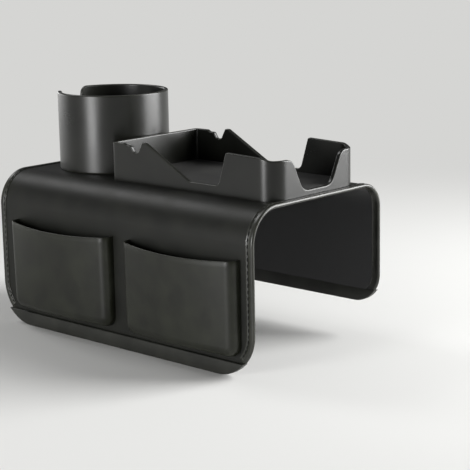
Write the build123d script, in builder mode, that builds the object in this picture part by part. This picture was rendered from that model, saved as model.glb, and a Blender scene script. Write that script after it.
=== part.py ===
from build123d import *
import math
import os

# Sofa arm tray: a saddle of laminated leather that lies over a sofa arm, with an open tray and a cup
# holder riveted to its top panel, and two moulded pockets on the flap that hangs outside the arm.
# Millimetres. X runs across the arm, from the outside (-X) to the seat (+X). Y runs along the arm, with
# the front at -Y. Z is up. The origin is the centre of the top panel's underside.

# The saddle
saddle_length = 342
panel_width = 126
outer_bend_radius = 33
inner_bend_radius = 24
outer_drop = 153
inner_drop = 120
outer_corner_radius = 42
inner_corner_radius = 30

# Its laminate, from the underside up
lining_thickness = 0.6
core_thickness = 1.0
skin_thickness = 1.4

# The leather binding folded round the front and rear edges
binding_width = 8
binding_web = 1.0
binding_stand = 0.6

# The hem band along a flap's lower edge, with a steel bar inside
outer_hem_height = 14
inner_hem_height = 13
hem_stand = 3.2
hem_edge_radius = 1.1
bar_height = 8
bar_thickness = 1.8
bar_fit = 0.1

# The tray, which fills the level panel between its margins and the cup holder
tray_side_margin = 3
tray_front_margin = 6.5
tray_shift = 1
tray_wall = 4
tray_floor = 4
tray_front_radius_share = 0.15
tray_rear_radius_share = 0.05
tray_edge_radius = 0.9
tray_front_height = 36
front_flat_length = 6.9
front_rise_length = 9
front_blend_radius = 12

# Side walls: a low front, a deep rest with a sloped back edge, and a small notch behind it. The places
# along the wall and the radii are shares of the tray's length, the places from its front, and the
# heights are shares of the tray's front height.
rest_fall_share = 0.2775
rest_front_share = 0.3235
rest_rear_share = 0.5005
peak_front_share = 0.7713
peak_rear_share = 0.7928
small_notch_front_share = 0.8201
small_notch_rear_share = 0.8489
step_front_share = 0.8671
step_rear_share = 0.8958
rear_land_share = 0.9126
front_rise_height_share = 1.0667
shoulder_height_share = 1.1056
peak_height_share = 1.0972
rear_height_share = 1.0222
rest_height_share = 0.2361
small_notch_height_share = 0.8056
step_height_share = 0.9722
crest_radius_share = 0.012
rest_foot_radius_share = 0.0335
notch_corner_radius_share = 0.0096

# The U in the front wall, its widths and foot radius as shares of the tray's width
cutout_top_share = 0.583
cutout_foot_share = 0.333
cutout_height = 5.5
cutout_foot_radius_share = 0.1
cutout_margin = 0.3

# The cup holder
cup_radius = 56
cup_wall = 4
cup_floor = 4
cup_height = 78
cup_gap = 2.75
cup_rear_margin = 12
cup_base_radius = 1.5
cup_edge_radius = 1.2
slot_turn = 105
slot_top_width = 40
slot_foot_width = 28
slot_height = 22
slot_shoulder_radius = 8
slot_foot_radius = 11

# Mats and rivets
mat_thickness = 1.5
mat_fit = 0.3
cup_mat_ledge = 2
rivet_radius = 2.0
rivet_fit = 0.1
rivet_head_radius = 4
rivet_head_height = 1.2
rivet_tail_radius = 3.4
rivet_tail_height = 0.5
tray_rivet_width_share = 0.583
tray_rivet_length_share = 0.382
cup_rivet_circle_share = 0.607

# The pockets, their widths and their places as shares of the saddle's length
pocket_width_share = 0.4079
pocket_gap_share = 0.0643
pocket_shift_share = -0.0161
pocket_wall = 1.8
pocket_depth = 10
pocket_mouth_bulge = 9
pocket_foot_bulge = 4
pocket_mouth_below = 45.5
pocket_mouth_dip = 3
pocket_hem_gap = 5
pocket_corner_radius = 11
pocket_edge_radius = 8

# The gap between the bend and the flap that swings, the play of a seated edge, and the length by
# which a cut runs past a face
fold_clearance = 0.3
seat_play = 0.1
overrun = 2

# Places that follow from the sizes
sheet_thickness = lining_thickness + core_thickness + skin_thickness
skin_bottom = lining_thickness + core_thickness
laminate_thickness = core_thickness + skin_thickness
half_length = saddle_length / 2
core_half_length = half_length - binding_web
lining_half_length = half_length - binding_width
half_panel = panel_width / 2
tray_width = panel_width - 2 * tray_side_margin
tray_length = saddle_length - tray_front_margin - cup_gap - 2 * cup_radius - cup_rear_margin
tray_front = tray_front_margin - half_length
tray_front_radius = tray_front_radius_share * tray_width
tray_rear_radius = tray_rear_radius_share * tray_width
crest_radius = crest_radius_share * tray_length
rest_foot_radius = rest_foot_radius_share * tray_length
notch_corner_radius = notch_corner_radius_share * tray_length
tray_shoulder_height = shoulder_height_share * tray_front_height
tray_peak_height = peak_height_share * tray_front_height
tray_rear_height = rear_height_share * tray_front_height
front_rise_height = front_rise_height_share * tray_front_height
rest_height = rest_height_share * tray_front_height
small_notch_height = small_notch_height_share * tray_front_height
step_height = step_height_share * tray_front_height
cutout_foot_radius = cutout_foot_radius_share * tray_width
tray_centre_y = tray_front + tray_length / 2
cup_centre_y = tray_front + tray_length + cup_gap + cup_radius

# The two sides and the two ends of the saddle
OUTER = -1
INNER = 1
side_names = {OUTER: "outer", INNER: "inner"}
end_names = {OUTER: "front", INNER: "rear"}
bend_radii = {OUTER: outer_bend_radius, INNER: inner_bend_radius}
drops = {OUTER: outer_drop, INNER: inner_drop}
corner_radii = {OUTER: outer_corner_radius, INNER: inner_corner_radius}
hem_heights = {OUTER: outer_hem_height, INNER: inner_hem_height}

os.makedirs("parts", exist_ok=True)


def finish(piece, label):
    """Name a finished piece and write its STEP file."""
    piece.part.label = label
    export_step(piece.part, f"parts/{label}.step")


def flap_face(side):
    """Say where a hanging flap's outer face lies across the arm."""
    return side * (half_panel + bend_radii[side])


def bend_centre(side):
    """Give the height of a bend's axis, which lies under the end of the level panel."""
    return sheet_thickness - bend_radii[side]


def flap_top(side):
    """Give the height of a flap's upper edge, just clear of the bend."""
    return bend_centre(side) - fold_clearance


def hem_top(side):
    """Give the height of a hem band's upper edge."""
    return sheet_thickness - drops[side] + hem_heights[side]


def plane_along(y):
    """Give the plane across the saddle at y; a negative extrusion from it goes to the rear."""
    return Plane.XZ.offset(-y)


def flap_plane(side, depth):
    """Give the plane along a flap at a depth below its outer face."""
    return Plane.YZ.offset(flap_face(side) - side * depth)


def draw_closed(points, radii, mode=Mode.ADD):
    """Draw a closed outline with rounded corners in the active sketch."""
    with BuildLine() as outline:
        FilletPolyline(*points, radius=radii, close=True)
    make_face(outline.edges(), mode=mode)


def draw_quarter_ring(side, inner_radius, outer_radius):
    """Draw a quarter ring about a bend's axis in the active sketch."""
    across = Align.MAX if side == OUTER else Align.MIN
    with Locations((side * half_panel, bend_centre(side))):
        Circle(outer_radius)
        Circle(inner_radius, mode=Mode.SUBTRACT)
        Rectangle(outer_radius, outer_radius, align=(across, Align.MIN), mode=Mode.INTERSECT)


def draw_flap(side, inset, top, mode=Mode.ADD):
    """Draw a flap's outline in the active sketch, drawn in by inset, up to the height top."""
    half = half_length - inset
    bottom = sheet_thickness - drops[side] + inset
    corner = corner_radii[side] - inset
    points = [(-half, top), (half, top), (half, bottom), (-half, bottom)]
    draw_closed(points, [0, 0, corner, corner], mode)


def draw_band(low_y, high_y, low_z, high_z, mode):
    """Draw an upright rectangle between two lengths and two heights in the active sketch."""
    draw_closed([(low_y, low_z), (high_y, low_z), (high_y, high_z), (low_y, high_z)], [0, 0, 0, 0], mode)


def draw_panel(half_span, mode=Mode.ADD):
    """Draw the level panel's plan in the active sketch, half_span to the front and to the rear."""
    Rectangle(panel_width, 2 * half_span, mode=mode)


def draw_tray_plan(inset, mode=Mode.ADD):
    """Draw the tray's plan in the active sketch, drawn in by inset."""
    half_width = tray_width / 2 - inset
    left = tray_shift - half_width
    right = tray_shift + half_width
    front = tray_front + inset
    rear = tray_front + tray_length - inset
    front_radius = tray_front_radius - inset
    rear_radius = tray_rear_radius - inset
    points = [(left, front), (right, front), (right, rear), (left, rear)]
    draw_closed(points, [front_radius, front_radius, rear_radius, rear_radius], mode)


# Rivet places on the top panel: six under the tray and four under the cup
tray_rivets = [
    (
        tray_shift + column * tray_rivet_width_share * tray_width / 2,
        tray_centre_y + row * tray_rivet_length_share * tray_length,
    )
    for column in (-1, 1)
    for row in (-1, 0, 1)
]
cup_rivets = [
    (
        tray_shift + cup_rivet_circle_share * cup_radius * math.cos(math.radians(turn)),
        cup_centre_y + cup_rivet_circle_share * cup_radius * math.sin(math.radians(turn)),
    )
    for turn in (45, 135, 225, 315)
]


def at_height(places, height):
    """Lift the rivet places to one height."""
    return [(x, y, height) for x, y in places]


def rim_edges(piece, floor_height):
    """Find the edges on both sides of a wall's top, which are the edges that one top face has alone."""
    tops = [face for face in piece.faces() if face.normal_at().Z > 0 and face.center().Z > floor_height]
    counts = {}
    for face in tops:
        for edge in face.edges():
            counts[edge] = counts.get(edge, 0) + 1
    return [edge for edge, count in counts.items() if count == 1]


# Top panel: skin, stiffening board and anti-slip lining, pierced for the rivets
panel_layers = [
    ("top_skin", skin_bottom, skin_thickness, core_half_length, rivet_radius),
    ("top_board", lining_thickness, core_thickness, core_half_length, rivet_radius),
    ("top_lining", 0, lining_thickness, lining_half_length, rivet_tail_radius),
]
for label, bottom, thickness, half_span, hole_radius in panel_layers:
    with BuildPart() as layer:
        with BuildSketch(Plane.XY.offset(bottom)):
            draw_panel(half_span)
            with Locations(*tray_rivets, *cup_rivets):
                Circle(hole_radius + rivet_fit, mode=Mode.SUBTRACT)
        extrude(amount=thickness)
    finish(layer, label)

# Top panel bindings: a channel of leather folded round the front edge, and one round the rear edge
for end, end_name in end_names.items():
    with BuildPart() as panel_binding:
        edge_from, edge_to = sorted((end * half_length, end * lining_half_length))
        groove_from, groove_to = sorted((end * core_half_length, end * (lining_half_length - overrun)))
        with BuildSketch(plane_along(edge_from)):
            with Locations((0, (sheet_thickness + binding_stand) / 2)):
                Rectangle(panel_width, sheet_thickness + binding_stand)
        extrude(amount=edge_from - edge_to)
        with BuildSketch(plane_along(groove_from)):
            with Locations((0, lining_thickness + laminate_thickness / 2)):
                Rectangle(panel_width, laminate_thickness)
        extrude(amount=groove_from - groove_to, mode=Mode.SUBTRACT)
    finish(panel_binding, f"top_{end_name}_binding")

# The two bends and the two flaps
for side, name in side_names.items():
    radius = bend_radii[side]
    bend_layers = [
        ("skin", radius - skin_thickness, radius, core_half_length),
        ("foam", radius - laminate_thickness, radius - skin_thickness, core_half_length),
        ("lining", radius - sheet_thickness, radius - laminate_thickness, lining_half_length),
    ]
    for layer_name, inner_radius, outer_radius, half_span in bend_layers:
        with BuildPart() as bend_layer:
            with BuildSketch(Plane.XZ):
                draw_quarter_ring(side, inner_radius, outer_radius)
            extrude(amount=half_span, both=True)
        finish(bend_layer, f"{name}_bend_{layer_name}")

    for end, end_name in end_names.items():
        with BuildPart() as bend_binding:
            edge_from, edge_to = sorted((end * half_length, end * lining_half_length))
            groove_from, groove_to = sorted((end * core_half_length, end * (lining_half_length - overrun)))
            with BuildSketch(plane_along(edge_from)):
                draw_quarter_ring(side, radius - sheet_thickness, radius + binding_stand)
            extrude(amount=edge_from - edge_to)
            with BuildSketch(plane_along(groove_from)):
                draw_quarter_ring(side, radius - laminate_thickness, radius)
            extrude(amount=groove_from - groove_to, mode=Mode.SUBTRACT)
        finish(bend_binding, f"{name}_bend_{end_name}_binding")

    # Flap skin and board run to the bindings' webs, the lining to the bindings' legs and the hem band
    top = flap_top(side)
    with BuildPart() as flap_skin:
        with BuildSketch(flap_plane(side, 0)):
            draw_flap(side, binding_web, top)
        extrude(amount=-side * skin_thickness)
    finish(flap_skin, f"{name}_flap_skin")

    with BuildPart() as flap_board:
        with BuildSketch(flap_plane(side, skin_thickness)):
            draw_flap(side, binding_web, top)
        extrude(amount=-side * core_thickness)
    finish(flap_board, f"{name}_flap_board")

    with BuildPart() as flap_lining:
        with BuildSketch(flap_plane(side, laminate_thickness)):
            draw_flap(side, binding_width, top)
            draw_band(-half_length, half_length, sheet_thickness - drops[side], hem_top(side), Mode.SUBTRACT)
        extrude(amount=-side * lining_thickness)
    finish(flap_lining, f"{name}_flap_lining")

    for end, end_name in end_names.items():
        with BuildPart() as flap_binding:
            far_from, far_to = sorted((0, -end * (half_length + overrun)))
            with BuildSketch(flap_plane(side, -binding_stand)):
                draw_flap(side, 0, top)
                draw_flap(side, binding_width, top + overrun, Mode.SUBTRACT)
                draw_band(
                    -half_length, half_length, sheet_thickness - drops[side], hem_top(side), Mode.SUBTRACT
                )
                draw_band(far_from, far_to, hem_top(side) - overrun, top + overrun, Mode.SUBTRACT)
            extrude(amount=-side * (binding_stand + sheet_thickness))
            with BuildSketch(flap_plane(side, 0)):
                draw_flap(side, binding_web, top + overrun)
            extrude(amount=-side * laminate_thickness, mode=Mode.SUBTRACT)
        finish(flap_binding, f"{name}_flap_{end_name}_binding")

    # Hem band: a leather strip folded under the flap's lower edge, which holds a flat steel bar
    bar_length = saddle_length - 2 * corner_radii[side]
    bar_centre = (0, hem_top(side) - hem_heights[side] / 2)
    with BuildPart() as hem_cover:
        with BuildSketch(flap_plane(side, -hem_stand)):
            draw_flap(side, 0, top)
            draw_band(-half_length, half_length, hem_top(side), top + overrun, Mode.SUBTRACT)
        extrude(amount=-side * (hem_stand + sheet_thickness))
        outer_rim = hem_cover.edges().group_by(Axis.X)[0 if side == OUTER else -1]
        fillet(outer_rim, radius=hem_edge_radius)
        with BuildSketch(flap_plane(side, 0)):
            draw_flap(side, binding_web, top)
        extrude(amount=-side * laminate_thickness, mode=Mode.SUBTRACT)
        with BuildSketch(flap_plane(side, 0)):
            with Locations(bar_centre):
                Rectangle(bar_length + 2 * bar_fit, bar_height + 2 * bar_fit)
        extrude(amount=side * (bar_thickness + bar_fit), mode=Mode.SUBTRACT)
    finish(hem_cover, f"{name}_hem_cover")

    with BuildPart() as weight_bar:
        with BuildSketch(flap_plane(side, 0)):
            with Locations(bar_centre):
                SlotOverall(bar_length, bar_height)
        extrude(amount=side * bar_thickness)
    finish(weight_bar, f"{name}_weight_bar")


# Pockets: moulded pouches, open at the back where the flap's skin closes them
pocket_width = pocket_width_share * saddle_length
pocket_gap = pocket_gap_share * saddle_length
pocket_shift = pocket_shift_share * saddle_length
pocket_mouth = sheet_thickness - pocket_mouth_below
pocket_foot = hem_top(OUTER) + pocket_hem_gap
pocket_face = flap_face(OUTER)


def draw_pouch_plan(centre, inset, bulge):
    """Draw a pouch's plan in the active sketch: straight back, and a front that bows out by bulge."""
    half = pocket_width / 2 + overrun
    depth = pocket_depth - inset
    front_left = (pocket_face - depth, centre - half)
    front_middle = (pocket_face - depth - bulge, centre)
    front_right = (pocket_face - depth, centre + half)
    with BuildLine() as outline:
        Polyline(front_right, (pocket_face, centre + half), (pocket_face, centre - half), front_left)
        ThreePointArc(front_left, front_middle, front_right)
    make_face(outline.edges())


def draw_mouth_cut(centre):
    """Draw the dipped mouth line in the active sketch, with all that lies above it."""
    half = pocket_width / 2 + overrun
    left = (centre - half, pocket_mouth)
    right = (centre + half, pocket_mouth)
    with BuildLine() as outline:
        ThreePointArc(left, (centre, pocket_mouth - pocket_mouth_dip), right)
        Polyline(right, (centre + half, pocket_mouth + overrun), (centre - half, pocket_mouth + overrun), left)
    make_face(outline.edges())


def make_pouch(centre, inset):
    """Make a solid pouch, drawn in by inset on its front, sides and foot."""
    half = pocket_width / 2 - inset
    foot = pocket_foot + inset
    corner = pocket_corner_radius - inset
    reach = pocket_depth + pocket_mouth_bulge + overrun
    with BuildPart() as pouch:
        with BuildSketch(Plane.YZ.offset(pocket_face)):
            points = [
                (centre - half, pocket_mouth + overrun),
                (centre + half, pocket_mouth + overrun),
                (centre + half, foot),
                (centre - half, foot),
            ]
            draw_closed(points, [0, 0, corner, corner])
        extrude(amount=-reach)
        with BuildSketch(Plane.XY.offset(pocket_foot - overrun)):
            draw_pouch_plan(centre, inset, pocket_foot_bulge)
        with BuildSketch(Plane.XY.offset(pocket_mouth + 2 * overrun)):
            draw_pouch_plan(centre, inset, pocket_mouth_bulge)
        loft(ruled=True, mode=Mode.INTERSECT)
        front_face = pouch.faces().sort_by(Axis.X)[0]
        mouth_edge = front_face.edges().sort_by(Axis.Z)[-1]
        rounded = [edge for edge in front_face.edges() if edge != mouth_edge]
        fillet(rounded, radius=pocket_edge_radius - inset)
    return pouch.part


for end, end_name in end_names.items():
    centre = pocket_shift + end * (pocket_width + pocket_gap) / 2
    with BuildPart() as pocket:
        add(make_pouch(centre, 0))
        add(make_pouch(centre, pocket_wall), mode=Mode.SUBTRACT)
        with BuildSketch(Plane.YZ.offset(pocket_face + overrun)):
            draw_mouth_cut(centre)
        extrude(amount=-(pocket_depth + pocket_mouth_bulge + 2 * overrun), mode=Mode.SUBTRACT)
    finish(pocket, f"{end_name}_pocket")


# Tray shell: a moulded box whose side walls follow one outline, with a U through the front wall
tray_base = sheet_thickness
side_outline = [
    ((-overrun, -overrun), 0),
    ((-overrun, tray_front_height), 0),
    ((front_flat_length, tray_front_height), front_blend_radius),
    ((front_flat_length + front_rise_length, front_rise_height), front_blend_radius),
    ((rest_fall_share * tray_length, tray_shoulder_height), crest_radius),
    ((rest_front_share * tray_length, rest_height), rest_foot_radius),
    ((rest_rear_share * tray_length, rest_height), rest_foot_radius),
    ((peak_front_share * tray_length, tray_peak_height), crest_radius),
    ((peak_rear_share * tray_length, tray_peak_height), notch_corner_radius),
    ((small_notch_front_share * tray_length, small_notch_height), notch_corner_radius),
    ((small_notch_rear_share * tray_length, small_notch_height), notch_corner_radius),
    ((step_front_share * tray_length, step_height), notch_corner_radius),
    ((step_rear_share * tray_length, step_height), notch_corner_radius),
    ((rear_land_share * tray_length, tray_rear_height), notch_corner_radius),
    ((tray_length + overrun, tray_rear_height), 0),
    ((tray_length + overrun, -overrun), 0),
]
cutout_shoulder = cutout_top_share * tray_width / 2
cutout_foot = cutout_foot_share * tray_width / 2
# The U's shoulders run out just before the front corners begin
cutout_slope = math.atan2(tray_front_height - cutout_height, cutout_shoulder - cutout_foot)
cutout_room = tray_width / 2 - tray_front_radius - cutout_shoulder - cutout_margin
cutout_shoulder_radius = cutout_room / math.tan(cutout_slope / 2)
cutout_reach = cutout_shoulder + cutout_shoulder_radius
front_outline = [
    ((-cutout_reach, tray_front_height), 0),
    ((-cutout_shoulder, tray_front_height), cutout_shoulder_radius),
    ((-cutout_foot, cutout_height), cutout_foot_radius),
    ((cutout_foot, cutout_height), cutout_foot_radius),
    ((cutout_shoulder, tray_front_height), cutout_shoulder_radius),
    ((cutout_reach, tray_front_height), 0),
    ((cutout_reach, tray_front_height + overrun), 0),
    ((-cutout_reach, tray_front_height + overrun), 0),
]
with BuildPart() as tray_shell:
    with BuildSketch(Plane.XY.offset(tray_base)):
        draw_tray_plan(0)
    extrude(amount=tray_shoulder_height + overrun)
    with BuildSketch(Plane.XY.offset(tray_base + tray_floor)):
        draw_tray_plan(tray_wall)
    extrude(amount=tray_shoulder_height + overrun, mode=Mode.SUBTRACT)
    with BuildSketch(Plane.YZ.offset(tray_shift)):
        side_points = [(tray_front + along, tray_base + height) for (along, height), _ in side_outline]
        draw_closed(side_points, [corner for _, corner in side_outline])
    extrude(amount=tray_width / 2 + overrun, both=True, mode=Mode.INTERSECT)
    with BuildSketch(plane_along(tray_front - overrun)):
        front_points = [(tray_shift + across, tray_base + height) for (across, height), _ in front_outline]
        draw_closed(front_points, [corner for _, corner in front_outline])
    extrude(amount=-(tray_wall + 2 * overrun), mode=Mode.SUBTRACT)
    fillet(rim_edges(tray_shell, tray_base + tray_floor + seat_play), radius=tray_edge_radius)
    binding_edge = seat_play - lining_half_length
    with BuildSketch(Plane.XY.offset(tray_base)):
        draw_closed(
            [
                (tray_shift - tray_width, tray_front - overrun),
                (tray_shift + tray_width, tray_front - overrun),
                (tray_shift + tray_width, binding_edge),
                (tray_shift - tray_width, binding_edge),
            ],
            [0, 0, 0, 0],
        )
    extrude(amount=binding_stand + seat_play, mode=Mode.SUBTRACT)
    with Locations(*at_height(tray_rivets, tray_base + tray_floor)):
        CounterBoreHole(
            radius=rivet_radius + rivet_fit,
            counter_bore_radius=rivet_head_radius + rivet_fit,
            counter_bore_depth=rivet_head_height + rivet_fit,
            depth=tray_floor,
        )
finish(tray_shell, "tray_shell")

with BuildPart() as tray_mat:
    with BuildSketch(Plane.XY.offset(tray_base + tray_floor)):
        draw_tray_plan(tray_wall + mat_fit)
    extrude(amount=mat_thickness)
finish(tray_mat, "tray_mat")

# Cup holder: a moulded pot with a slot for a mug's handle, turned a little to the outer side, and a
# recess in its floor for its mat
slot_shoulder = slot_top_width / 2
slot_foot = slot_foot_width / 2
slot_reach = slot_shoulder + slot_shoulder_radius
slot_outline = [
    ((-slot_reach, cup_height), 0),
    ((-slot_shoulder, cup_height), slot_shoulder_radius),
    ((-slot_foot, slot_height), slot_foot_radius),
    ((slot_foot, slot_height), slot_foot_radius),
    ((slot_shoulder, cup_height), slot_shoulder_radius),
    ((slot_reach, cup_height), 0),
    ((slot_reach, cup_height + overrun), 0),
    ((-slot_reach, cup_height + overrun), 0),
]
slot_way = (math.cos(math.radians(slot_turn)), math.sin(math.radians(slot_turn)), 0)
slot_across = (-slot_way[1], slot_way[0], 0)
slot_plane = Plane(origin=(tray_shift, cup_centre_y, tray_base), x_dir=slot_across, z_dir=slot_way)
cup_mat_base = tray_base + cup_floor - mat_thickness
with BuildPart() as cup_shell:
    with BuildSketch(Plane.XY.offset(tray_base)):
        with Locations((tray_shift, cup_centre_y)):
            Circle(cup_radius)
    extrude(amount=cup_height)
    fillet(cup_shell.edges().group_by(Axis.Z)[0], radius=cup_base_radius)
    with BuildSketch(Plane.XY.offset(tray_base + cup_floor)):
        with Locations((tray_shift, cup_centre_y)):
            Circle(cup_radius - cup_wall)
    extrude(amount=cup_height, mode=Mode.SUBTRACT)
    with BuildSketch(Plane.XY.offset(cup_mat_base)):
        with Locations((tray_shift, cup_centre_y)):
            Circle(cup_radius - cup_wall - cup_mat_ledge)
    extrude(amount=mat_thickness, mode=Mode.SUBTRACT)
    with BuildSketch(slot_plane):
        draw_closed([point for point, _ in slot_outline], [corner for _, corner in slot_outline])
    extrude(amount=cup_radius + overrun, mode=Mode.SUBTRACT)
    fillet(rim_edges(cup_shell, tray_base + cup_floor + seat_play), radius=cup_edge_radius)
    with Locations(*at_height(cup_rivets, cup_mat_base)):
        CounterBoreHole(
            radius=rivet_radius + rivet_fit,
            counter_bore_radius=rivet_head_radius + rivet_fit,
            counter_bore_depth=rivet_head_height + rivet_fit,
            depth=cup_floor,
        )
finish(cup_shell, "cup_shell")

with BuildPart() as cup_mat:
    with BuildSketch(Plane.XY.offset(cup_mat_base)):
        with Locations((tray_shift, cup_centre_y)):
            Circle(cup_radius - cup_wall - cup_mat_ledge - mat_fit)
    extrude(amount=mat_thickness)
finish(cup_mat, "cup_mat")

# Rivets: the head lies in the floor under the mat, the tail is turned over under the board
upward = (Align.CENTER, Align.CENTER, Align.MIN)
rivet_sets = [
    ("tray_rivets", tray_rivets, tray_base + tray_floor),
    ("cup_rivets", cup_rivets, cup_mat_base),
]
for label, places, mat_seat in rivet_sets:
    head_seat = mat_seat - rivet_head_height - rivet_fit
    tail_bottom = lining_thickness - rivet_tail_height
    with BuildPart() as rivets:
        with Locations(*at_height(places, lining_thickness)):
            Cylinder(rivet_radius, head_seat - lining_thickness, align=upward)
        with Locations(*at_height(places, head_seat)):
            Cylinder(rivet_head_radius, rivet_head_height, align=upward)
        with Locations(*at_height(places, tail_bottom)):
            Cylinder(rivet_tail_radius, rivet_tail_height, align=upward)
    finish(rivets, label)
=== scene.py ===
"""Looks of the sofa arm tray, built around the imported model.

A leather saddle has a level panel between two hanging flaps. An open notched tray and a cup holder
are riveted to the panel, and two moulded pockets stand out of the outer flap. All lengths in the
classes are in millimetres. Meshes are written in metres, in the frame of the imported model.
"""

import logging
import math
from dataclasses import dataclass
from enum import Enum

import bmesh
import bpy
from mathutils import Matrix, Vector


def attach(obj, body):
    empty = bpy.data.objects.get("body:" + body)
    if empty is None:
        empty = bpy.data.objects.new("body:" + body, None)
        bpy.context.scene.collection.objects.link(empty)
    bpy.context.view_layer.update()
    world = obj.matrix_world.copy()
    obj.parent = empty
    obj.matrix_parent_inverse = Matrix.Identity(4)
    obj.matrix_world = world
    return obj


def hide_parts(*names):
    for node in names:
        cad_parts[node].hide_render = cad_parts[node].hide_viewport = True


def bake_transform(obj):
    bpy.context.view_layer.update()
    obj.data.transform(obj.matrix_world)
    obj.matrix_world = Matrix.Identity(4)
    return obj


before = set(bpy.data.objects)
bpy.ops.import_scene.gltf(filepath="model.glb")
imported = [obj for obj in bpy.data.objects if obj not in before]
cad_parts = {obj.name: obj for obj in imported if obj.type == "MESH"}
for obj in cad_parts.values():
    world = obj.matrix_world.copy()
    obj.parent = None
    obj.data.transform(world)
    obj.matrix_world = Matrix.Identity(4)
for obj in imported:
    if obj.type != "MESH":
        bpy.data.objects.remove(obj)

LOG = logging.getLogger("sofa_arm_tray")
MM = 0.001
# Points closer than this are one point, and shorter edges are dropped
WELD = 0.002
SLIVER = 0.001
# The vertex attribute for an edge's wear and painted highlight, from 0 to 1, and how much it shifts a
# colour
WEAR_AND_HIGHLIGHT = "edge_wear"
WEAR_AND_HIGHLIGHT_SHARE = 0.45
# An edge takes wear and painted highlight from where its faces turn by these degrees, fully at twice as
# many
WEAR_AND_HIGHLIGHT_TURN = 9.0
# The largest turn of one part of a rounded form, in degrees: of a soft one, and of a rim or a hem
SOFT_TURN = 15.0
RIM_TURN = 22.5
# The range that a noise mostly stays in
NOISE_SPAN = (0.3, 0.7)
Point = tuple[float, float, float]
Place = tuple[float, float]


class Side(Enum):
    """The side of the saddle that a flap hangs on, and the way X runs to it."""

    OUTER = -1
    INNER = 1


class End(Enum):
    """The end of the saddle that an edge lies at, and the way Y runs to it."""

    FRONT = -1
    REAR = 1


# Colour and shader nodes


def linear(code: str) -> tuple[float, float, float, float]:
    """Turn an sRGB hex code into a linear colour.

    Args:
        code: Six hex digits, such as "1b1b1a".

    Returns:
        Red, green, blue and alpha, linear.
    """
    parts = [int(code[i : i + 2], 16) / 255 for i in (0, 2, 4)]
    bent = [v / 12.92 if v <= 0.04045 else ((v + 0.055) / 1.055) ** 2.4 for v in parts]
    return (bent[0], bent[1], bent[2], 1.0)


def add_node(
    tree: bpy.types.NodeTree, kind: str, settings: dict | None = None, **sockets: object
) -> bpy.types.Node:
    """Add one shader node with its settings, socket values and links.

    Args:
        tree: The node tree that gets the node.
        kind: The node's Blender type name.
        settings: Attributes of the node, by name.
        **sockets: A value, or another node's output, by socket name with "_" for each space, or
            by number as "i0", "i1" and so on.

    Returns:
        The new node.
    """
    node = tree.nodes.new(kind)
    for name, value in (settings or {}).items():
        setattr(node, name, value)
    for name, value in sockets.items():
        key = int(name[1:]) if name[0] == "i" and name[1:].isdigit() else name.replace("_", " ")
        socket = node.inputs[key]
        if isinstance(value, bpy.types.NodeSocket):
            tree.links.new(value, socket)
        else:
            socket.default_value = value
    return node


def new_material(name: str) -> tuple[bpy.types.Material, bpy.types.NodeTree, bpy.types.Node]:
    """Start a material with an empty tree and its output.

    Args:
        name: The material's name.

    Returns:
        The material, its node tree and its output node.
    """
    material = bpy.data.materials.new(name)
    material.use_nodes = True
    tree = material.node_tree
    tree.nodes.clear()
    return material, tree, tree.nodes.new("ShaderNodeOutputMaterial")


def place_scaled(tree: bpy.types.NodeTree, period: float) -> bpy.types.NodeSocket:
    """Give object coordinates scaled so that one unit is one period.

    Args:
        tree: The node tree.
        period: The pattern's real size in millimetres.

    Returns:
        The scaled coordinate's socket.
    """
    where = add_node(tree, "ShaderNodeTexCoord")
    scale = 1 / (period * MM)
    mapping = add_node(tree, "ShaderNodeMapping", Vector=where.outputs["Object"])
    mapping.inputs["Scale"].default_value = (scale, scale, scale)
    return mapping.outputs["Vector"]


def worn_and_highlit_tone(
    tree: bpy.types.NodeTree,
    patches: bpy.types.NodeSocket,
    places: tuple[float, float, float],
    colours: tuple[str, str, str],
) -> tuple[bpy.types.NodeSocket, bpy.types.NodeSocket]:
    """Colour a surface in uneven patches, with its rubbed edges drawn lighter: wear and a painted
    highlight.

    Args:
        tree: The node tree.
        patches: A noise that varies slowly over the surface.
        places: The colour ramp's three places, from untouched to rubbed and highlit edges.
        colours: The sRGB colours there.

    Returns:
        The colour's socket and the socket of the edge wear and painted highlight.
    """
    wear_and_highlight = add_node(tree, "ShaderNodeAttribute", {"attribute_name": WEAR_AND_HIGHLIGHT}).outputs["Fac"]
    shade = add_node(
        tree, "ShaderNodeMath", {"operation": "MULTIPLY_ADD"}, i0=wear_and_highlight, i1=WEAR_AND_HIGHLIGHT_SHARE, i2=patches
    )
    tone = add_node(tree, "ShaderNodeValToRGB", Fac=shade.outputs["Value"])
    ramp = tone.color_ramp.elements
    for element, place, colour in zip(ramp, places, colours):
        element.position, element.color = place, linear(colour)
    ramp.new(places[-1]).color = linear(colours[-1])
    return tone.outputs["Color"], wear_and_highlight


# Finishes


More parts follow.
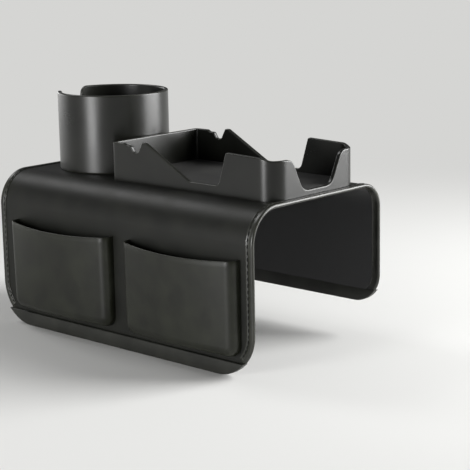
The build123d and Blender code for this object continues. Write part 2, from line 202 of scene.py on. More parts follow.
@dataclass(frozen=True)
class CalenderedLeather:
    """Bonded leather with a calendered polyurethane face.

    The face is pressed between warm rollers, which leaves a fine even grain and a satin sheen that
    spreads highlights into soft bands.
    """

    name: str
    colour: str = "10110d"
    worn_colour: str = "171812"
    edge_highlight_and_wear_colour: str = "35362f"
    roughness: float = 0.46
    roughness_play: float = 0.03
    edge_polish: float = 0.16
    grain: float = 1.1
    grain_depth: float = 0.04
    grain_strength: float = 0.5
    pore: float = 0.45
    pore_depth: float = 0.03
    pore_strength: float = 0.35
    wave: float = 60.0
    wave_depth: float = 0.3
    wave_strength: float = 0.08
    patch: float = 24.0
    tone_places: Point = (0.38, 0.74, 1.0)
    ior: float = 1.38

    def build(self) -> bpy.types.Material:
        """Build the leather's material.

        Returns:
            The material.
        """
        material, tree, output = new_material(self.name)
        # The real grain is about 0.6 mm. It is drawn at about 1.1 mm, so that it shows.
        cells = add_node(
            tree,
            "ShaderNodeTexVoronoi",
            {"feature": "SMOOTH_F1"},
            Vector=place_scaled(tree, self.grain),
            Scale=1.0,
            Smoothness=0.6,
            Randomness=0.9,
        )
        # Pores, slow waves of a sheet that was rolled and pressed onto its board, and rubbed patches
        pores, waves, rubbed = (
            add_node(
                tree, "ShaderNodeTexNoise", Vector=place_scaled(tree, size), Scale=1.0, Detail=detail
            ).outputs["Fac"]
            for size, detail in ((self.pore, 2.0), (self.wave, 1.5), (self.patch, 4.0))
        )
        # Handling rubs the rounded edges smoother, and they are drawn lighter with wear and a painted
        # highlight
        colours = (self.colour, self.worn_colour, self.edge_highlight_and_wear_colour)
        tone, wear_and_highlight = worn_and_highlit_tone(tree, rubbed, self.tone_places, colours)
        sheen = add_node(
            tree,
            "ShaderNodeMapRange",
            Value=rubbed,
            From_Min=NOISE_SPAN[0],
            From_Max=NOISE_SPAN[1],
            To_Min=self.roughness - self.roughness_play,
            To_Max=self.roughness + self.roughness_play,
        )
        polish = add_node(
            tree,
            "ShaderNodeMath",
            {"operation": "MULTIPLY_ADD"},
            i0=wear_and_highlight,
            i1=-self.edge_polish,
            i2=sheen.outputs["Result"],
        )
        relief = add_node(
            tree,
            "ShaderNodeBump",
            Strength=self.wave_strength,
            Distance=self.wave_depth * MM,
            Height=waves,
        )
        for strength, deep, height in (
            (self.grain_strength, self.grain_depth, cells.outputs["Distance"]),
            (self.pore_strength, self.pore_depth, pores),
        ):
            relief = add_node(
                tree,
                "ShaderNodeBump",
                Strength=strength,
                Distance=deep * MM,
                Height=height,
                Normal=relief.outputs["Normal"],
            )
        shader = add_node(
            tree,
            "ShaderNodeBsdfPrincipled",
            Base_Color=tone,
            Roughness=polish.outputs["Value"],
            Normal=relief.outputs["Normal"],
            IOR=self.ior,
        )
        tree.links.new(shader.outputs["BSDF"], output.inputs["Surface"])
        return material


@dataclass(frozen=True)
class MouldedPolymer:
    """A moulded polymer: ABS with a fine spark-eroded face, or soft thermoplastic rubber.

    The mould's eroded face leaves a very fine stipple, so the satin surface shows soft upright bands
    of light on its round corners.
    """

    name: str
    colour: str
    faded_colour: str
    roughness: float
    stipple: float
    stipple_depth: float
    rim_highlight_and_wear_colour: str = "2e2f2a"
    roughness_play: float = 0.03
    stipple_strength: float = 0.4
    flow: float = 35.0
    tone_places: Point = (0.35, 0.76, 1.0)
    ior: float = 1.5

    def build(self) -> bpy.types.Material:
        """Build the polymer's material.

        Returns:
            The material.
        """
        material, tree, output = new_material(self.name)
        stipple, flow = (
            add_node(
                tree, "ShaderNodeTexNoise", Vector=place_scaled(tree, size), Scale=1.0, Detail=detail
            ).outputs["Fac"]
            for size, detail in ((self.stipple, 1.0), (self.flow, 3.0))
        )
        # The rims are drawn a little lighter, with wear from what is put in and taken out and a painted
        # highlight
        colours = (self.colour, self.faded_colour, self.rim_highlight_and_wear_colour)
        tone, _ = worn_and_highlit_tone(tree, flow, self.tone_places, colours)
        sheen = add_node(
            tree,
            "ShaderNodeMapRange",
            Value=flow,
            From_Min=NOISE_SPAN[0],
            From_Max=NOISE_SPAN[1],
            To_Min=self.roughness - self.roughness_play,
            To_Max=self.roughness + self.roughness_play,
        )
        bump = add_node(
            tree,
            "ShaderNodeBump",
            Strength=self.stipple_strength,
            Distance=self.stipple_depth * MM,
            Height=stipple,
        )
        shader = add_node(
            tree,
            "ShaderNodeBsdfPrincipled",
            Base_Color=tone,
            Roughness=sheen.outputs["Result"],
            Normal=bump.outputs["Normal"],
            IOR=self.ior,
        )
        tree.links.new(shader.outputs["BSDF"], output.inputs["Surface"])
        return material


@dataclass(frozen=True)
class WovenCloth:
    """A plain weave polyester lining, brushed a little, which gives a dull surface with a soft edge."""

    name: str
    colour: str = "222223"
    thread_colour: str = "343436"
    thread: float = 1.3
    roughness: float = 0.85
    nap: float = 0.25
    fuzz: float = 0.5
    weave_depth: float = 0.2

    def build(self) -> bpy.types.Material:
        """Build the cloth's material.

        Returns:
            The material.
        """
        material, tree, output = new_material(self.name)
        # The real threads lie 0.4 mm apart. They are drawn at 1.3 mm, so that they show.
        where = add_node(
            tree, "ShaderNodeSeparateXYZ", Vector=place_scaled(tree, self.thread / math.tau)
        )
        along = add_node(tree, "ShaderNodeMath", {"operation": "SINE"}, i0=where.outputs["Y"])
        rise = add_node(
            tree, "ShaderNodeMath", {"operation": "ADD"}, i0=where.outputs["X"], i1=where.outputs["Z"]
        )
        across = add_node(tree, "ShaderNodeMath", {"operation": "SINE"}, i0=rise.outputs["Value"])
        weave = add_node(
            tree,
            "ShaderNodeMath",
            {"operation": "MULTIPLY"},
            i0=along.outputs["Value"],
            i1=across.outputs["Value"],
        )
        fuzz = add_node(
            tree, "ShaderNodeTexNoise", Vector=place_scaled(tree, self.fuzz), Scale=1.0, Detail=2.0
        )
        height = add_node(
            tree,
            "ShaderNodeMath",
            {"operation": "ADD"},
            i0=weave.outputs["Value"],
            i1=fuzz.outputs["Fac"],
        )
        tone = add_node(tree, "ShaderNodeValToRGB", Fac=height.outputs["Value"])
        tone.color_ramp.elements[0].color = linear(self.colour)
        tone.color_ramp.elements[1].color = linear(self.thread_colour)
        bump = add_node(
            tree,
            "ShaderNodeBump",
            Strength=0.5,
            Distance=self.weave_depth * MM,
            Height=height.outputs["Value"],
        )
        shader = add_node(
            tree,
            "ShaderNodeBsdfPrincipled",
            Base_Color=tone.outputs["Color"],
            Roughness=self.roughness,
            Normal=bump.outputs["Normal"],
            Sheen_Weight=self.nap,
            Sheen_Roughness=0.5,
        )
        tree.links.new(shader.outputs["BSDF"], output.inputs["Surface"])
        return material


@dataclass(frozen=True)
class DrawnMetal:
    """A drawn or rolled metal: the bars' steel or the rivets' aluminium.

    Drawing leaves fine lines along its length, which stretch each highlight into a short streak.
    """

    name: str
    colour: str
    roughness: float = 0.35
    roughness_play: float = 0.08
    line: float = 0.8
    line_depth: float = 0.02

    def build(self) -> bpy.types.Material:
        """Build the metal's material.

        Returns:
            The material.
        """
        material, tree, output = new_material(self.name)
        lines = add_node(
            tree, "ShaderNodeTexNoise", Vector=place_scaled(tree, self.line), Scale=1.0, Detail=2.0
        )
        sheen = add_node(
            tree,
            "ShaderNodeMapRange",
            Value=lines.outputs["Fac"],
            To_Min=self.roughness - self.roughness_play,
            To_Max=self.roughness + self.roughness_play,
        )
        bump = add_node(
            tree,
            "ShaderNodeBump",
            Strength=0.2,
            Distance=self.line_depth * MM,
            Height=lines.outputs["Fac"],
        )
        shader = add_node(
            tree,
            "ShaderNodeBsdfPrincipled",
            Base_Color=linear(self.colour),
            Roughness=sheen.outputs["Result"],
            Normal=bump.outputs["Normal"],
            Metallic=1.0,
        )
        tree.links.new(shader.outputs["BSDF"], output.inputs["Surface"])
        return material


@dataclass(frozen=True)
class PaleFloor:
    """A matte painted floor, which stays pale and takes the object's shadow."""

    name: str = "matte_floor_paint"
    colour: str = "dddddb"
    near: float = 350.0
    far: float = 1100.0
    backdrop: float = 0.92

    def build(self) -> bpy.types.Material:
        """Build the floor's material.

        Returns:
            The material.
        """
        material, tree, output = new_material(self.name)
        paint = add_node(
            tree, "ShaderNodeBsdfPrincipled", Base_Color=linear(self.colour), Roughness=0.9
        )
        # Far from the object the floor runs out into a plain backdrop of the same colour
        where = add_node(tree, "ShaderNodeTexCoord")
        away = add_node(
            tree, "ShaderNodeVectorMath", {"operation": "LENGTH"}, Vector=where.outputs["Object"]
        )
        far = add_node(
            tree,
            "ShaderNodeMapRange",
            {"interpolation_type": "SMOOTHSTEP"},
            Value=away.outputs["Value"],
            From_Min=self.near * MM,
            From_Max=self.far * MM,
        )
        rays = add_node(tree, "ShaderNodeLightPath").outputs
        seen = rays["Is Camera Ray"]
        for kind in ("Is Glossy Ray", "Is Transmission Ray"):
            either = add_node(tree, "ShaderNodeMath", {"operation": "MAXIMUM"}, i0=seen, i1=rays[kind])
            seen = either.outputs["Value"]
        share = add_node(
            tree, "ShaderNodeMath", {"operation": "MULTIPLY"}, i0=far.outputs["Result"], i1=seen
        )
        glow = add_node(tree, "ShaderNodeEmission", Color=linear(self.colour), Strength=self.backdrop)
        blend = add_node(
            tree,
            "ShaderNodeMixShader",
            Fac=share.outputs["Value"],
            i1=paint.outputs["BSDF"],
            i2=glow.outputs["Emission"],
        )
        tree.links.new(blend.outputs["Shader"], output.inputs["Surface"])
        return material


class Palette:
    """All the finishes of the object, each built once."""

    def __init__(self) -> None:
        """Build every material."""
        self.skin = CalenderedLeather("calendered_pu_leather").build()
        # The pouches are drawn a shade lighter than the saddle, a painted highlight for the light their
        # bowed fronts catch, and a little more olive
        self.pocket = CalenderedLeather(
            "moulded_pu_leather", colour="171812", worn_colour="22241b", roughness=0.45, ior=1.41
        ).build()
        # The folded strips are finer in grain and glossier, so that the edges show a line of light
        self.binding = CalenderedLeather(
            "leather_edge_binding",
            colour="171813",
            worn_colour="262721",
            roughness=0.40,
            grain=0.9,
            ior=1.52,
        ).build()
        self.abs = MouldedPolymer(
            "satin_moulded_abs", "0d0e0b", "151611", 0.30, stipple=0.7, stipple_depth=0.02
        ).build()
        # Rubber scatters light evenly, so the mats look dull beside the satin walls
        self.rubber = MouldedPolymer(
            "thermoplastic_rubber_mat",
            "20201f",
            "2b2b29",
            0.72,
            stipple=1.2,
            stipple_depth=0.15,
            ior=1.52,
        ).build()
        self.board = MouldedPolymer(
            "extruded_polypropylene_board", "242424", "2c2c2c", 0.55, stipple=1.0, stipple_depth=0.05
        ).build()
        self.foam = MouldedPolymer(
            "closed_cell_foam", "262626", "333333", 0.9, stipple=0.9, stipple_depth=0.3
        ).build()
        self.lining = WovenCloth("brushed_polyester_lining").build()
        # The thread is bonded, so it has no nap. Its near-black colour is partly its own and partly the
        # painted shade of its stitch holes, so it reads as dark dashes along the binding
        self.thread = WovenCloth(
            "bonded_polyester_thread",
            colour="080808",
            thread_colour="151514",
            thread=0.8,
            roughness=0.75,
            nap=0.0,
        ).build()
        self.steel = DrawnMetal("rolled_steel_bar", "8f9092").build()
        self.aluminium = DrawnMetal("headed_aluminium_rivet", "b9babb").build()
        self.floor = PaleFloor().build()


# Mesh helpers


@dataclass
class MeshDraft:
    """Points and faces of a mesh in the making, in millimetres."""

    points: list
    faces: list

    @classmethod
    def empty(cls) -> "MeshDraft":
        """Start a draft with nothing in it."""
        return cls([], [])

    def add_row(self, row: list) -> list[int]:
        """Add a row of points.

        Args:
            row: The points.

        Returns:
            The numbers of the new points.
        """
        first = len(self.points)
        self.points.extend(tuple(p) for p in row)
        return list(range(first, len(self.points)))

    def bridge(self, one: list[int], other: list[int], closed: bool = False) -> None:
        """Join two rows of the same length with four-sided faces.

        Args:
            one: Point numbers of the first row.
            other: Point numbers of the second row.
            closed: Whether the last point joins the first.
        """
        count = len(one)
        for i in range(count if closed else count - 1):
            j = (i + 1) % count
            self.faces.append((one[i], one[j], other[j], other[i]))

    def cap(self, ring: list[int]) -> None:
        """Close a ring of points with one face."""
        self.faces.append(tuple(ring))

    def loft(self, rows: list[list[int]], closed: bool = False, capped: bool = False) -> None:
        """Join each row to the next.

        Args:
            rows: Point numbers of the rows, all of the same length.
            closed: Whether each row is a ring.
            capped: Whether the first and the last ring get a face.
        """
        for one, other in zip(rows, rows[1:]):
            self.bridge(one, other, closed)
        if capped:
            self.cap(rows[0])
            self.cap(rows[-1])

    def to_object(
        self, name: str, material: bpy.types.Material, crease: float = 40.0
    ) -> bpy.types.Object:
        """Make the Blender object, with outward faces and smooth shading.

        Args:
            name: The object's name.
            material: Its finish.
            crease: Edges sharper than this angle, in degrees, stay sharp.

        Returns:
            The new object.
        """
        mesh = bpy.data.meshes.new(name)
        mesh.from_pydata([tuple(c * MM for c in p) for p in self.points], [], self.faces)
        work = bmesh.new()
        work.from_mesh(mesh)
        bmesh.ops.remove_doubles(work, verts=work.verts, dist=WELD * MM)
        bmesh.ops.dissolve_degenerate(work, edges=work.edges, dist=SLIVER * MM)
        bmesh.ops.recalc_face_normals(work, faces=work.faces)
        # Edges that stand out and turn on a small radius are marked for wear and a painted highlight
        wear_and_highlight = work.verts.layers.float.new(WEAR_AND_HIGHLIGHT)
        for vertex in work.verts:
            turns = (edge.calc_face_angle_signed(0.0) for edge in vertex.link_edges)
            turn = math.degrees(max(turns, default=0.0))
            vertex[wear_and_highlight] = max(0.0, min(1.0, (turn - WEAR_AND_HIGHLIGHT_TURN) / WEAR_AND_HIGHLIGHT_TURN))
        work.to_mesh(mesh)
        work.free()
        mesh.shade_smooth()
        mesh.set_sharp_from_angle(angle=math.radians(crease))
        mesh.materials.append(material)
        obj = bpy.data.objects.new(name, mesh)
        bpy.context.scene.collection.objects.link(obj)
        return obj


def spread(low: float, high: float, step: float) -> list[float]:
    """Divide a span into even parts no longer than a step.

    Args:
        low: Start of the span.
        high: End of the span.
        step: The longest part.

    Returns:
        The places, both ends included.
    """
    count = max(1, math.ceil(abs(high - low) / step - 1e-9))
    return [low + (high - low) * i / count for i in range(count + 1)]


def rounded_line(
    corners: list[tuple[Place, float]], step: float, arc_step: float = 12.0
) -> list[Place]:
    """Draw an open line through corners, each rounded to its radius.

    Args:
        corners: Each corner's place and radius.
        step: The longest straight part.
        arc_step: The largest turn of one part of an arc, in degrees.

    Returns:
        The points of the line.
    """
    line: list[Place] = [corners[0][0]]
    for before, (corner, radius), after in zip(corners, corners[1:], corners[2:]):
        here = Vector(corner)
        back = (Vector(before[0]) - here).normalized()
        ahead = (Vector(after[0]) - here).normalized()
        turn = math.pi - back.angle(ahead)
        if radius <= 0 or turn < 1e-4:
            arc = [here]
        else:
            reach = radius * math.tan(turn / 2)
            start, end = here + back * reach, here + ahead * reach
            middle = here + (back + ahead).normalized() * (radius / math.cos(turn / 2))
            parts = max(2, math.ceil(math.degrees(turn) / arc_step))
            arc = []
            first, last = (start - middle) / math.sin(turn), (end - middle) / math.sin(turn)
            for i in range(parts + 1):
                part = turn * i / parts
                arc.append(middle + first * math.sin(turn - part) + last * math.sin(part))
        previous = Vector(line[-1])
        for share in spread(0, 1, step / max((arc[0] - previous).length, step))[1:-1]:
            line.append(tuple(previous.lerp(arc[0], share)))
        line.extend(tuple(p) for p in arc)
    previous, last = Vector(line[-1]), Vector(corners[-1][0])
    for share in spread(0, 1, step / max((last - previous).length, step))[1:]:
        line.append(tuple(previous.lerp(last, share)))
    return line


def height_at(line: list[Place], where: float) -> float:
    """Read a line's height at a place along it.

    Args:
        line: Points with rising first coordinates.
        where: The place.

    Returns:
        The height there.
    """
    if where <= line[0][0]:
        return line[0][1]
    for (x0, y0), (x1, y1) in zip(line, line[1:]):
        if x0 <= where <= x1:
            return y0 if x1 - x0 < 1e-9 else y0 + (y1 - y0) * (where - x0) / (x1 - x0)
    return line[-1][1]


# The saddle


@dataclass
class SaddleHalf:
    """One half of the saddle: half of the level panel, a bend and a hanging flap.

    The half is a flat sheet that is bent once. A place on it is told by the distance from the saddle's
    middle line, the place lengthwise, and the height above the leather's face. The edge profiles are
    pairs of an inset and a height. The binding's lip gives its heights as shares of its stand.
    """

    side: Side
    bend_radius: float
    drop: float
    corner_radius: float
    hem_height: float
    half_panel: float = 63.0
    half_length: float = 171.0
    top: float = 3.0
    skin_thickness: float = 1.4
    core_thickness: float = 1.0
    sheet_thickness: float = 3.0
    binding_width: float = 8.0
    binding_web: float = 1.0
    binding_stand: float = 0.6
    binding_fold: float = 0.92
    binding_flat: float = 1.25
    binding_lip: tuple[Place, ...] = ((0.0, 0.0), (0.0, 0.55), (0.12, 0.85), (0.35, 1.0))
    binding_under_lip: Place = (0.3, 0.2)
    hem_stand: float = 3.2
    hem_edge_radius: float = 1.1
    hem_inner_radius: float = 0.25
    hem_foot_radius: float = 0.9
    # Where the band runs out at its ends, its rounded edges keep to this share of its height
    hem_edge_share: float = 0.45
    hem_step: float = 8.0
    hem_end_turn: float = 6.0
    stitch_dip: tuple[Place, ...] = ((1.3, 0.0), (0.8, -0.3), (0.0, -0.6), (-0.8, -0.3), (-1.3, 0.0))
    stitch_inset: float = 6.1
    stitch_pitch: float = 5.8
    stitch_length: float = 3.7
    # How far the row keeps from the middle line and from the hem, as shares of the pitch
    stitch_clear: Place = (0.7, 0.5)
    stitch_sink: float = 0.35
    thread_radius: float = 0.6
    thread_sides: int = 6
    # Along each stitch: the share of its length, the lift, and the share of the thread's radius
    thread_profile: tuple[Point, ...] = (
        (-0.5, -0.35, 0.45),
        (-0.38, -0.02, 0.9),
        (0.0, 0.1, 1.0),
        (0.38, -0.02, 0.9),
        (0.5, -0.35, 0.45),
    )
    # The longest parts that the sheet is drawn in: in the flat, in the corners, and in a bend's degrees
    flat_step: float = 6.0
    corner_step: float = 2.0
    bend_step: float = 2.5
    column_share: float = 0.05
    binding_step: float = 4.0
    binding_bend_step: float = 3.0
    binding_corner_step: float = 1.6
    stitch_step: float = 1.0

    @property
    def name(self) -> str:
        """The half's name, as its nodes begin."""
        return self.side.name.lower()

    @property
    def bend_end(self) -> float:
        """Where the bend ends, along the sheet."""
        return self.half_panel + self.bend_radius * math.pi / 2

    @property
    def reach(self) -> float:
        """Where the flap's lower edge lies, along the sheet."""
        return self.bend_end + self.drop - self.bend_radius

    def place(self, along: float, y: float, height: float) -> Point:
        """Bend a place on the flat sheet into the saddle's form.

        Args:
            along: Distance from the saddle's middle line, over the bend and down the flap.
            y: Place lengthwise.
            height: Height above the leather's face.

        Returns:
            The place in the frame, in millimetres.
        """
        way = self.side.value
        if along <= self.half_panel:
            return (way * along, y, self.top + height)
        centre = self.top - self.bend_radius
        radius = self.bend_radius + height
        if along <= self.bend_end:
            turn = (along - self.half_panel) / self.bend_radius
            across = self.half_panel + radius * math.sin(turn)
            return (way * across, y, centre + radius * math.cos(turn))
        return (way * (self.half_panel + radius), y, centre - (along - self.bend_end))

    def half_width(self, along: float, inset: float) -> float:
        """Give the sheet's half width lengthwise.

        Args:
            along: Distance from the saddle's middle line.
            inset: How far the outline is drawn in.

        Returns:
            The half width there.
        """
        start = self.reach - self.corner_radius
        if along <= start:
            return self.half_length - inset
        radius = self.corner_radius - inset
        drop = min(along - start, radius)
        return self.half_length - self.corner_radius + math.sqrt(max(0.0, radius**2 - drop**2))

    def rows(self, low: float, high: float) -> list[float]:
        """Divide a stretch of the sheet, finely over the bend and round the lower corners.

        Args:
            low: Where the stretch starts, along the sheet.
            high: Where it ends.

        Returns:
            The places, both ends included.
        """
        corner = self.reach - self.corner_radius
        inner = (mark for mark in (self.half_panel, self.bend_end, corner) if low < mark < high)
        marks = sorted({low, high, *inner})
        rows: list[float] = []
        for start, end in zip(marks, marks[1:]):
            middle = (start + end) / 2
            if self.half_panel < middle < self.bend_end:
                step = self.bend_radius * math.radians(self.bend_step)
            elif middle > corner:
                step = self.corner_step
            else:
                step = self.flat_step
            rows.extend(spread(start, end, step)[: None if end == high else -1])
        return rows

    def layer(
        self, name: str, span: Place, inset: float, heights: Place, material: bpy.types.Material
    ) -> bpy.types.Object:
        """Make one closed layer of the laminate.

        Args:
            name: The piece's name.
            span: Its start and end along the sheet.
            inset: How far its outline is drawn in from the saddle's edge.
            heights: Its upper and lower face above the leather's face.
            material: Its finish.

        Returns:
            The piece.
        """
        draft = MeshDraft.empty()
        columns = spread(-1, 1, self.column_share)
        sheets = []
        for height in heights:
            rows = []
            for along in self.rows(*span):
                half = self.half_width(along, inset)
                rows.append(draft.add_row([self.place(along, c * half, height) for c in columns]))
            draft.loft(rows)
            sheets.append(rows)
        upper, lower = sheets
        for edge in (0, -1):
            draft.bridge(upper[edge], lower[edge])
            draft.bridge([row[edge] for row in upper], [row[edge] for row in lower])
        return draft.to_object(name, material, crease=30)

    def bind(self, piece: bpy.types.Object, *nodes: str) -> None:
        """Hide a piece's imported nodes and bake its place into its mesh.

        Args:
            piece: The piece.
            *nodes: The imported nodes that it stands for.
        """
        if nodes:
            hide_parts(*nodes)
        f"{self.name}_flap"
        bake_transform(piece)

    def cut(self) -> None:
        """Do nothing; no layer is declared as a sheet here.
        """
        # Each rounded corner takes away the part of a square that lies outside a quarter circle
        f"{self.name}_flap_board"

    def edge_stations(self, end: End, step: float) -> list[tuple[float, float, float, float]]:
        """List stations along one bound edge, from the middle line to the hem band.

        Args:
            end: The front or the rear edge.
            step: The longest part outside the bend and the corner.

        Returns:
            For each station the edge's place along the sheet and lengthwise, and the way inward.
        """
        radius = self.corner_radius
        corner = self.reach - radius
        bend_part = self.bend_radius * math.radians(self.binding_bend_step)
        way = end.value
        stations = []
        for start, stop, part in (
            (0.0, self.half_panel, step),
            (self.half_panel, self.bend_end, min(step, bend_part)),
            (self.bend_end, corner, step),
        ):
            places = spread(start, stop, part)[:-1]
            stations.extend((along, way * self.half_length, 0.0, -way) for along in places)
        last = math.asin((radius - self.hem_height) / radius)
        for turn in spread(0, last, min(step, self.binding_corner_step) / radius):
            away, level = math.sin(turn), math.cos(turn)
            y = way * (self.half_length - radius + radius * level)
            stations.append((corner + radius * away, y, -away, -way * level))
        return stations

    def binding_section(self) -> list[Place]:
        """Give the folded binding's section.

        Returns:
            Insets from the edge with heights above the leather, round the whole section.
        """
        width, stand, depth = self.binding_width, self.binding_stand, self.sheet_thickness
        under = self.skin_thickness + self.core_thickness
        fold = (stand + depth) / 2
        section = [(width - inset, stand * share) for inset, share in self.binding_lip]
        # The stitches pull the leather down into a shallow dip
        section += [(self.stitch_inset + aside, stand + rise) for aside, rise in self.stitch_dip]
        section.append((fold * self.binding_flat, stand))
        for turn in spread(0, 180, SOFT_TURN):
            angle = math.radians(turn)
            inset = fold * self.binding_fold * (1 - math.sin(angle))
            section.append((inset, stand - fold + fold * math.cos(angle)))
        aside, rise = self.binding_under_lip
        section += [(width - aside, -depth), (width, rise - depth), (width, -under)]
        section += [(self.binding_web, -under), (self.binding_web, 0.0)]
        return section

    def binding(self, end: End, material: bpy.types.Material) -> bpy.types.Object:
        """Make the leather binding folded round one edge.

        Args:
            end: The front or the rear edge.
            material: Its finish.

        Returns:
            The binding.
        """
        draft = MeshDraft.empty()
        rings = []
        for along, y, d_along, d_y in self.edge_stations(end, self.binding_step):
            ring = [
                self.place(along + inset * d_along, y + inset * d_y, height)
                for inset, height in self.binding_section()
            ]
            rings.append(draft.add_row(ring))
        draft.loft(rings, closed=True, capped=True)
        return draft.to_object(f"{self.name}_{end.name.lower()}_edge_binding", material, crease=50)

    def stitches(self, end: End, material: bpy.types.Material) -> bpy.types.Object:
        """Make the row of stitches along one binding, each a short thread that dips at both ends.

        Args:
            end: The front or the rear edge.
            material: The thread's finish.

        Returns:
            The row of stitches.
        """
        stations = self.edge_stations(end, self.stitch_step)
        lengths = [0.0]
        for one, other in zip(stations, stations[1:]):
            lengths.append(lengths[-1] + math.hypot(other[0] - one[0], other[1] - one[1]))

        def station_at(length: float) -> tuple[float, ...]:
            """Find a station.

            Args:
                length: Length along the edge.

            Returns:
                The station there.
            """
            for one, other, low, high in zip(stations, stations[1:], lengths, lengths[1:]):
                if length <= high:
                    share = (length - low) / (high - low)
                    return tuple(a + (b - a) * share for a, b in zip(one, other))
            return stations[-1]

        draft = MeshDraft.empty()
        turns = [math.tau * k / self.thread_sides for k in range(self.thread_sides)]
        axis = self.binding_stand - self.stitch_sink
        start, stop = (self.stitch_pitch * share for share in self.stitch_clear)
        middle = start
        while middle < lengths[-1] - stop:
            rings = []
            for part, lift, swell in self.thread_profile:
                along, y, d_along, d_y = station_at(middle + part * self.stitch_length)
                radius = self.thread_radius * swell
                ring = []
                for angle in turns:
                    inset = self.stitch_inset + radius * math.cos(angle)
                    height = axis + lift + radius * math.sin(angle)
                    ring.append(self.place(along + inset * d_along, y + inset * d_y, height))
                rings.append(draft.add_row(ring))
            draft.loft(rings, closed=True, capped=True)
            middle += self.stitch_pitch
        return draft.to_object(f"{self.name}_{end.name.lower()}_stitches", material, crease=80)

    def hem(self, material: bpy.types.Material) -> bpy.types.Object:
        """Make the hem band, a leather strip folded under the flap's lower edge.

        Args:
            material: Its finish.

        Returns:
            The band.
        """
        floor = self.top - self.drop
        high = floor + self.hem_height
        round_radius = self.corner_radius
        corner = self.half_length - round_radius
        reach = corner + math.sqrt(round_radius**2 - (round_radius - self.hem_height) ** 2)

        def lower_edge(y: float) -> float:
            """Give the band's lower edge at a place lengthwise."""
            over = max(0.0, abs(y) - corner)
            return floor + round_radius - math.sqrt(max(0.0, round_radius**2 - over**2))

        turns = [math.radians(turn) for turn in spread(0, 90, self.hem_end_turn)]
        ends = [corner + (reach - corner) * math.sin(turn) for turn in turns]
        # The last ring stops short of the point where the band would run out to nothing
        ends[-1] = reach - self.hem_inner_radius
        flat = spread(-corner, corner, self.hem_step)[1:-1]
        outer, inner = self.hem_stand, -self.sheet_thickness
        way = self.side.value
        base = self.half_panel + self.bend_radius
        draft = MeshDraft.empty()
        rings = []
        for y in [-v for v in reversed(ends)] + flat + ends:
            low = lower_edge(y)
            ring = []
            for u, v, radius, start in (
                (outer, high, self.hem_edge_radius, 0),
                (inner, high, self.hem_inner_radius, 90),
                (inner, low, self.hem_foot_radius, 180),
                (outer, low, self.hem_edge_radius, 270),
            ):
                r = min(radius, (high - low) * self.hem_edge_share)
                centre_u = u - r if u == outer else u + r
                centre_v = v - r if v == high else v + r
                for turn in spread(start, start + 90, RIM_TURN):
                    angle = math.radians(turn)
                    across = base + centre_u + r * math.cos(angle)
                    ring.append((way * across, y, centre_v + r * math.sin(angle)))
            rings.append(draft.add_row(ring))
        draft.loft(rings, closed=True, capped=True)
        return draft.to_object(f"{self.name}_hem_band", material, crease=50)

    def build(self, palette: Palette) -> None:
        """Build this half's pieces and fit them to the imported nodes.

        Args:
            palette: The finishes.
        """
        name = self.name
        under_skin = -self.skin_thickness
        under_core = under_skin - self.core_thickness
        skin_span = (0.0, self.reach - self.binding_web)
        skin = self.layer(
            f"{name}_leather", skin_span, self.binding_web, (0.0, under_skin), palette.skin
        )
        self.bind(skin, "top_skin", f"{name}_bend_skin", f"{name}_flap_skin")
        self.cut()
        foam_span = (self.half_panel, self.bend_end)
        foam = self.layer(
            f"{name}_foam", foam_span, self.binding_web, (under_skin, under_core), palette.foam
        )
        self.bind(foam, f"{name}_bend_foam")
        lining_span = (self.half_panel, self.reach - self.hem_height)
        lining_faces = (under_core, -self.sheet_thickness)
        lining = self.layer(
            f"{name}_lining", lining_span, self.binding_width, lining_faces, palette.lining
        )
        self.bind(lining, f"{name}_bend_lining", f"{name}_flap_lining")
        self.cut()
        for end in End:
            edge = end.name.lower()
            binding = self.binding(end, palette.binding)
            self.bind(
                binding,
                f"top_{edge}_binding",
                f"{name}_bend_{edge}_binding",
                f"{name}_flap_{edge}_binding",
            )
            stitches = self.stitches(end, palette.thread)
            self.bind(stitches)
        hem = self.hem(palette.binding)
        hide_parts(f"{name}_hem_cover")
        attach(hem, f"{name}_flap")
        dress(f"{name}_flap_board", palette.board)
        dress(f"{name}_weight_bar", palette.steel)
        LOG.info("built the %s half of the saddle", name)


def dress(node: str, material: bpy.types.Material) -> None:
    """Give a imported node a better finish.

    Args:
        node: The node's name.
        material: Its finish.
    """
    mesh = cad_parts[node].data
    mesh.materials.clear()
    mesh.materials.append(material)


# The pockets


